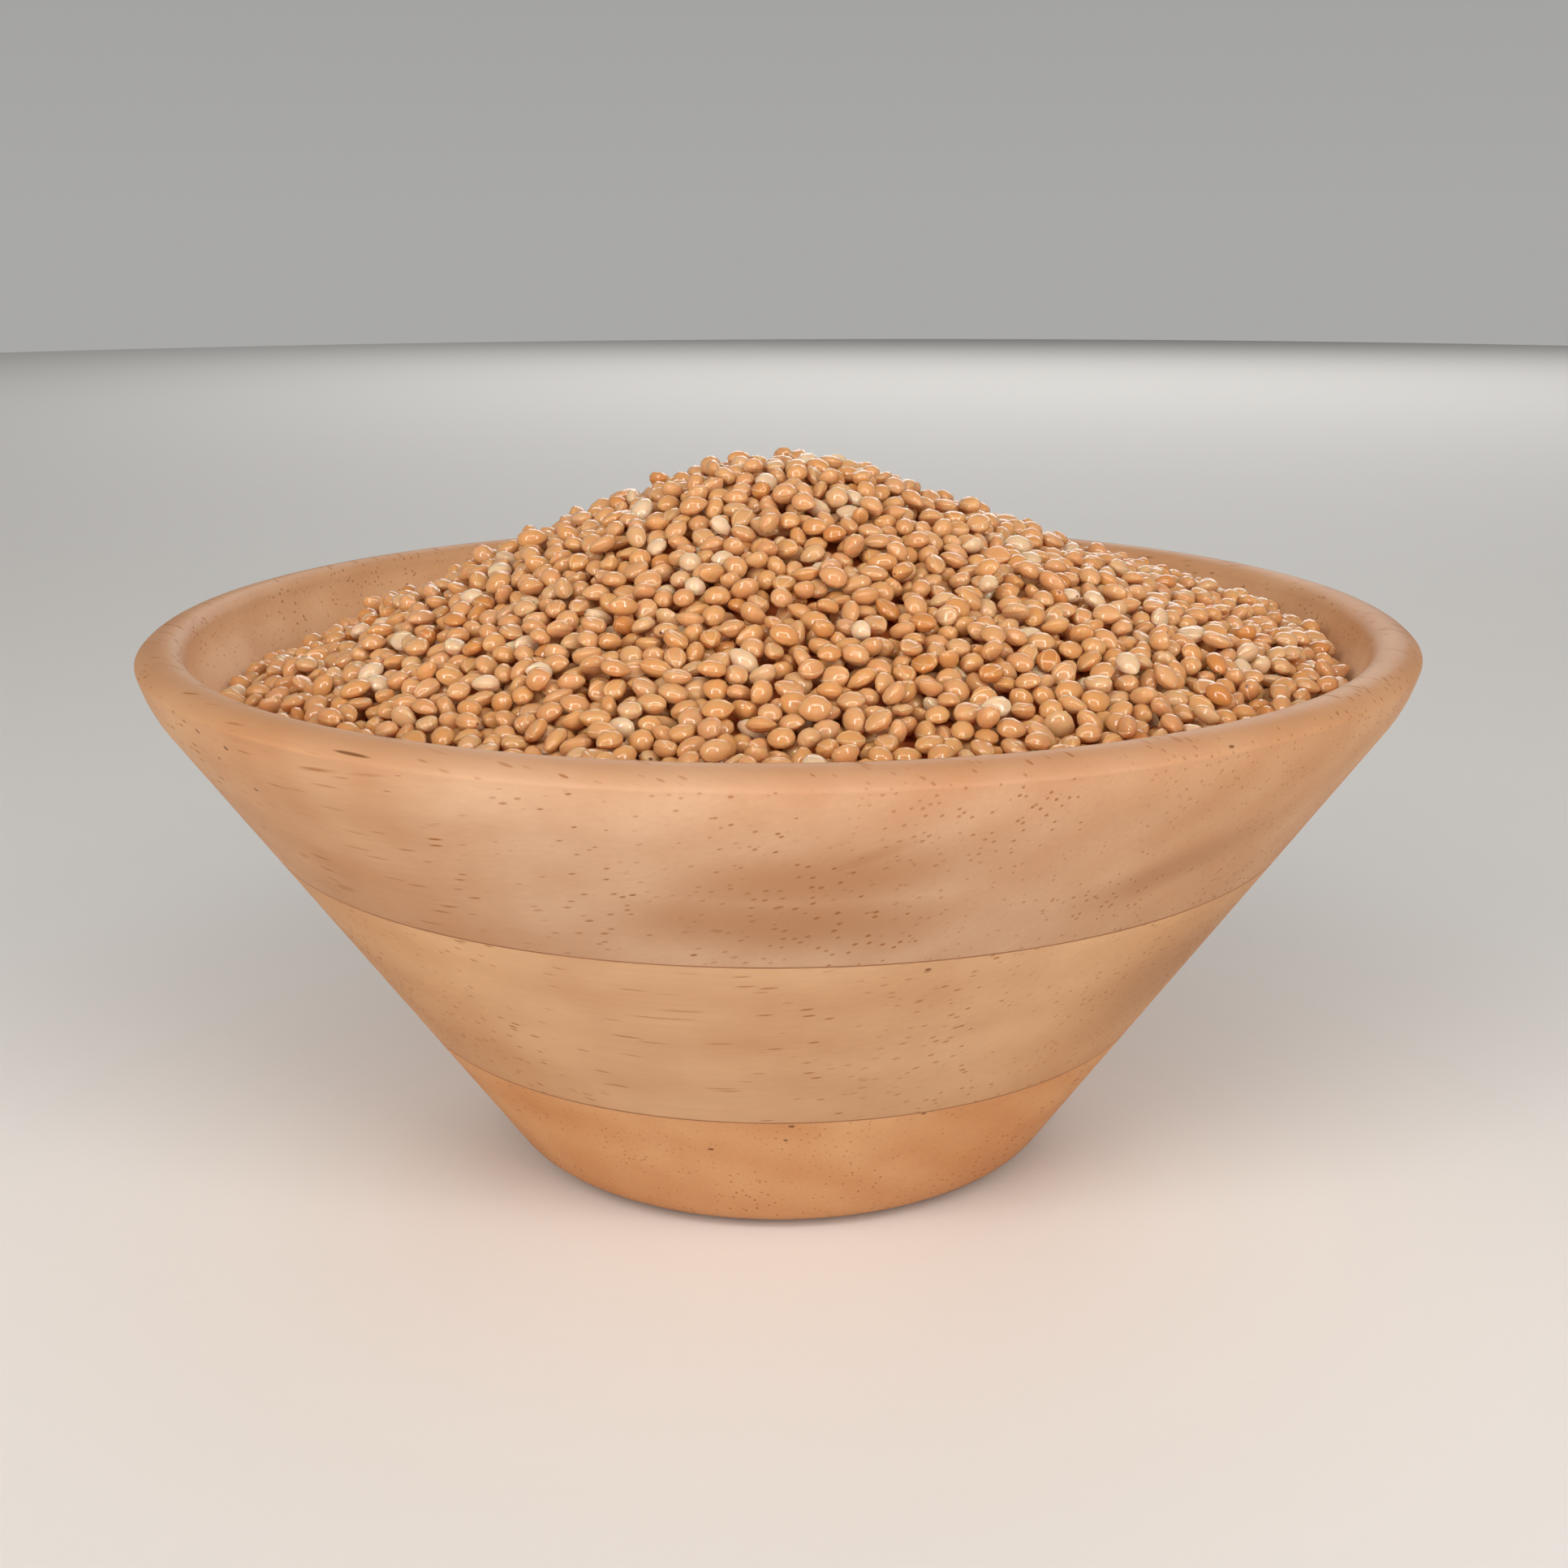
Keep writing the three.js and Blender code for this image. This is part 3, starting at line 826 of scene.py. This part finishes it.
def smooth_husk(name, husk, deep, pale):
    """A grain's husk: a hard, glossy skin that lets a little light in. Its front shows the inner
    husk between the two raised edges of the outer one."""
    material, tree, surface = new_material(name)
    place = add_node(tree, "ShaderNodeAttribute", {"attribute_name": "husk_place"})
    tone = add_node(tree, "ShaderNodeAttribute", {"attribute_name": "husk_tone"})
    axis = add_node(tree, "ShaderNodeSeparateXYZ", {}, {0: place.outputs["Vector"]})
    tint = add_node(tree, "ShaderNodeSeparateXYZ", {}, {0: tone.outputs["Vector"]})
    body = add_node(
        tree, "ShaderNodeMix", {"data_type": "RGBA", 6: linear(deep), 7: linear(pale)},
        {0: tint.outputs["X"]},
    )
    husk_mix = add_node(
        tree, "ShaderNodeMix", {"data_type": "RGBA", 0: HUSK_SHARE, 7: linear(husk)},
        {6: body.outputs[2]},
    )
    # The two seams run from end to end on the front, each side of its middle.
    length_square = add_node(
        tree, "ShaderNodeMath", {"operation": "MULTIPLY"}, {0: axis.outputs["Z"], 1: axis.outputs["Z"]}
    )
    girth_square = add_node(
        tree, "ShaderNodeMath", {"operation": "SUBTRACT", 0: 1.0, "use_clamp": True},
        {1: length_square.outputs["Value"]},
    )
    girth = add_node(
        tree, "ShaderNodeMath", {"operation": "SQRT"}, {0: girth_square.outputs["Value"]}
    )
    across = add_node(
        tree, "ShaderNodeMath", {"operation": "ABSOLUTE"}, {0: axis.outputs["X"]}
    )
    seam_offset = add_node(
        tree, "ShaderNodeMath", {"operation": "MULTIPLY_ADD", 1: -SEAM_PLACE},
        {0: girth.outputs["Value"], 2: across.outputs["Value"]},
    )
    front_side = add_node(
        tree, "ShaderNodeMapRange", {"From Min": 0.15, "From Max": -0.15},
        {"Value": axis.outputs["Y"]},
    )
    seam_shape = add_node(
        tree, "ShaderNodeMapRange",
        {"interpolation_type": "SMOOTHSTEP", "From Min": -0.05, "From Max": 0.07},
        {"Value": seam_offset.outputs["Value"]},
    )
    seam_near = add_node(
        tree, "ShaderNodeMath", {"operation": "ABSOLUTE"}, {0: seam_offset.outputs["Value"]}
    )
    seam_line = add_node(
        tree, "ShaderNodeMapRange", {"From Min": 0.09, "From Max": 0.0},
        {"Value": seam_near.outputs["Value"]},
    )
    seam = add_node(
        tree, "ShaderNodeMath", {"operation": "MULTIPLY"},
        {0: seam_line.outputs["Result"], 1: front_side.outputs["Result"]},
    )
    seam_share = add_node(
        tree, "ShaderNodeMath", {"operation": "MULTIPLY", 1: SEAM_SHARE}, {0: seam.outputs["Value"]}
    )
    # Husk colour and painted highlight: the seams are mixed toward the pale seam tone.
    seamed = add_node(
        tree, "ShaderNodeMix", {"data_type": "RGBA", 7: linear(SEAM_TONE_AND_HIGHLIGHT)},
        {0: seam_share.outputs["Value"], 6: husk_mix.outputs[2]},
    )
    # The stalk's scar is a small brown dot at the blunt end, dark on some grains only.
    scar = add_node(
        tree, "ShaderNodeMapRange", {"From Min": -0.93, "From Max": -0.985},
        {"Value": axis.outputs["Z"]},
    )
    scar_share = add_node(
        tree, "ShaderNodeMath", {"operation": "MULTIPLY"},
        {0: scar.outputs["Result"], 1: tint.outputs["Z"]},
    )
    scarred = add_node(
        tree, "ShaderNodeMix", {"data_type": "RGBA", 7: linear(SCAR_TONE)},
        {0: scar_share.outputs["Value"], 6: seamed.outputs[2]},
    )
    front_lip = add_node(
        tree, "ShaderNodeMath", {"operation": "MULTIPLY"},
        {0: seam_shape.outputs["Result"], 1: front_side.outputs["Result"]},
    )
    bump = add_node(
        tree, "ShaderNodeBump", {"Strength": 0.8, "Distance": SEAM_RELIEF},
        {"Height": front_lip.outputs["Value"]},
    )
    surface.inputs["IOR"].default_value = 1.5
    surface.inputs["Specular IOR Level"].default_value = 0.6
    surface.inputs["Roughness"].default_value = 0.15
    surface.inputs["Subsurface Weight"].default_value = 0.6
    surface.inputs["Subsurface Radius"].default_value = (1.0, 0.4, 0.15)
    surface.inputs["Subsurface Scale"].default_value = 1.8 * MM
    tree.links.new(scarred.outputs[2], surface.inputs["Base Color"])
    tree.links.new(bump.outputs["Normal"], surface.inputs["Normal"])
    return material


MAP_FILL = 0.94
# Each grain is made a little larger than it was laid, so that neighbours touch.
HUSK_PRESS = 1.075


def joined_grains(name, members):
    """All grains of one kind as one mesh. Each point has its place on its husk and its grain's
    tone, and each grain its own square of the map."""
    points, places, tones, faces, maps = [], [], [], [], []
    count = 0
    row_cells = math.ceil(math.sqrt(len(members)))
    for number, (middle, axes, turn) in enumerate(members):
        form_points, form_places, form_faces, husk_map = GRAIN_FORMS[kind_rng.integers(len(GRAIN_FORMS))]
        maps.append((husk_map * MAP_FILL + divmod(number, row_cells)) / row_cells)
        points.append((form_points * axes * HUSK_PRESS) @ turn.T + np.array(middle))
        places.append(form_places)
        scarred = kind_rng.random() < SCARRED_SHARE
        tone = (kind_rng.random(), kind_rng.random(), 1.0 if scarred else FAINT_SCAR * kind_rng.random())
        tones.append(np.tile(tone, (len(form_points), 1)))
        faces += [[corner + count for corner in face] for face in form_faces]
        count += len(form_points)
    mesh = bpy.data.meshes.new(name)
    mesh.from_pydata(np.concatenate(points) * MM, [], faces)
    husk_layer = mesh.uv_layers.new(name="OFBake")
    husk_layer.data.foreach_set("uv", np.concatenate(maps).astype(np.float32).ravel())
    for attribute_name, values in (("husk_place", places), ("husk_tone", tones)):
        attribute = mesh.attributes.new(attribute_name, "FLOAT_VECTOR", "POINT")
        attribute.data.foreach_set("vector", np.concatenate(values).astype(np.float32).ravel())
    mesh.shade_smooth()
    piece = bpy.data.objects.new(name, mesh)
    bpy.context.scene.collection.objects.link(piece)
    return piece


kind_rng = np.random.default_rng(77)
shown = []
for grain, cells in zip(grains, seen_cells):
    x, y, height = grain[0]
    if cells > CLEARLY_SEEN or (cells > 0 and heap_height(x, y) - height < DEEPEST_GLIMPSE):
        shown.append(grain)
shares = np.array([kind[1] for kind in GRAIN_KINDS])
kind_of = kind_rng.choice(len(GRAIN_KINDS), size=len(shown), p=shares / shares.sum())
for number, (name, _, husk, deep, pale) in enumerate(GRAIN_KINDS):
    members = [grain for grain, kind in zip(shown, kind_of) if kind == number]
    piece = joined_grains(name, members)
    piece.data.materials.append(smooth_husk(name + "_husk", husk, deep, pale))
    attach(piece, "root")


# ---------------------------------------------------------------------------
# Studio. A plain pale floor and backdrop, soft light from the front, above and
# behind, and the camera at the photograph's angle.
# ---------------------------------------------------------------------------

FLOOR_RADIUS = 1.5

studio_floor = turned_board("studio_floor", [(0, 0), (FLOOR_RADIUS, 0)], {}, closed=False)
floor_paint, _, floor_surface = new_material("pale_matt_floor")
floor_surface.inputs["Base Color"].default_value = linear("#e6e3df")
floor_surface.inputs["Roughness"].default_value = 0.8
studio_floor.data.materials.append(floor_paint)

# The studio's pale walls are brighter than its ceiling, and brightest in front of the bowl.
WALLS_GLOW = 0.5
CEILING_GLOW = 0.23
BACK_WALL_SHARE = 0.88

world = bpy.data.worlds.new("studio_air")
bpy.context.scene.world = world
world.use_nodes = True
air_tree = world.node_tree
air = air_tree.nodes["Background"]
heading = add_node(air_tree, "ShaderNodeTexCoord")
heading_parts = add_node(
    air_tree, "ShaderNodeSeparateXYZ", {}, {0: heading.outputs["Generated"]}
)
air_glow = add_node(
    air_tree, "ShaderNodeMapRange",
    {"From Min": 0.0, "From Max": 0.8, "To Min": WALLS_GLOW, "To Max": CEILING_GLOW},
    {"Value": heading_parts.outputs["Z"]},
)
front_share = add_node(
    air_tree, "ShaderNodeMapRange",
    {"From Min": -0.6, "From Max": 0.6, "To Min": 1.0, "To Max": BACK_WALL_SHARE},
    {"Value": heading_parts.outputs["Y"]},
)
air_strength = add_node(
    air_tree, "ShaderNodeMath", {"operation": "MULTIPLY"},
    {0: air_glow.outputs["Result"], 1: front_share.outputs["Result"]},
)
air.inputs["Color"].default_value = linear("#f4f3f1")
air_tree.links.new(air_strength.outputs["Value"], air.inputs["Strength"])


def soft_light(name, place, aim, width, height, power, tint):
    """A flat soft light that hangs at a place and faces a point."""
    lamp = bpy.data.lights.new(name, "AREA")
    lamp.shape = "RECTANGLE"
    lamp.size = width
    lamp.size_y = height
    lamp.energy = power
    lamp.color = linear(tint)[:3]
    light = bpy.data.objects.new(name, lamp)
    light.location = place
    light.rotation_mode = "QUATERNION"
    light.rotation_quaternion = (Vector(aim) - Vector(place)).to_track_quat("-Z", "Y")
    light.visible_camera = False
    bpy.context.scene.collection.objects.link(light)


# An arch of three strips round the lens gives each grain its small curved highlight.
HEAP_MIDDLE = (0, 0, 0.055)
soft_light("arch_left", (-0.33, -0.45, 0.28), HEAP_MIDDLE, 0.08, 0.42, 1.65, "#fffdfa")
soft_light("arch_right", (0.33, -0.45, 0.28), HEAP_MIDDLE, 0.08, 0.42, 1.5, "#fffdfa")
soft_light("arch_top", (0.0, -0.40, 0.50), HEAP_MIDDLE, 0.50, 0.08, 1.15, "#fffdfa")
soft_light("front_box", (0.0, -1.2, 0.08), HEAP_MIDDLE, 0.9, 0.5, 1.7, "#fdfdff")
soft_light("back_box", (0.2, 1.2, 0.6), HEAP_MIDDLE, 1.0, 0.7, 5.0, "#ffffff")

# The camera as it was solved from the bowl's circles in the photograph.
PHOTO_SIDE = 1932
FOCAL_PIXELS = 2630.0
AXIS_PIXEL = 959.7
CAMERA_PLACE = (0.0, -0.2374, 0.1058)
CAMERA_TILT = 0.2662
CAMERA_ROLL = -0.0047

eye = bpy.data.cameras.new("photo_camera")
eye.sensor_width = 36.0
eye.lens = eye.sensor_width * FOCAL_PIXELS / PHOTO_SIDE
eye.shift_x = (PHOTO_SIDE / 2 - AXIS_PIXEL) / PHOTO_SIDE
eye.clip_start = 0.01
camera = bpy.data.objects.new("photo_camera", eye)
look = Matrix.Rotation(math.pi / 2 - CAMERA_TILT, 4, "X") @ Matrix.Rotation(CAMERA_ROLL, 4, "Z")
camera.matrix_world = Matrix.Translation(CAMERA_PLACE) @ look
bpy.context.scene.collection.objects.link(camera)
bpy.context.scene.camera = camera
bpy.context.scene.view_settings.view_transform = "Standard"
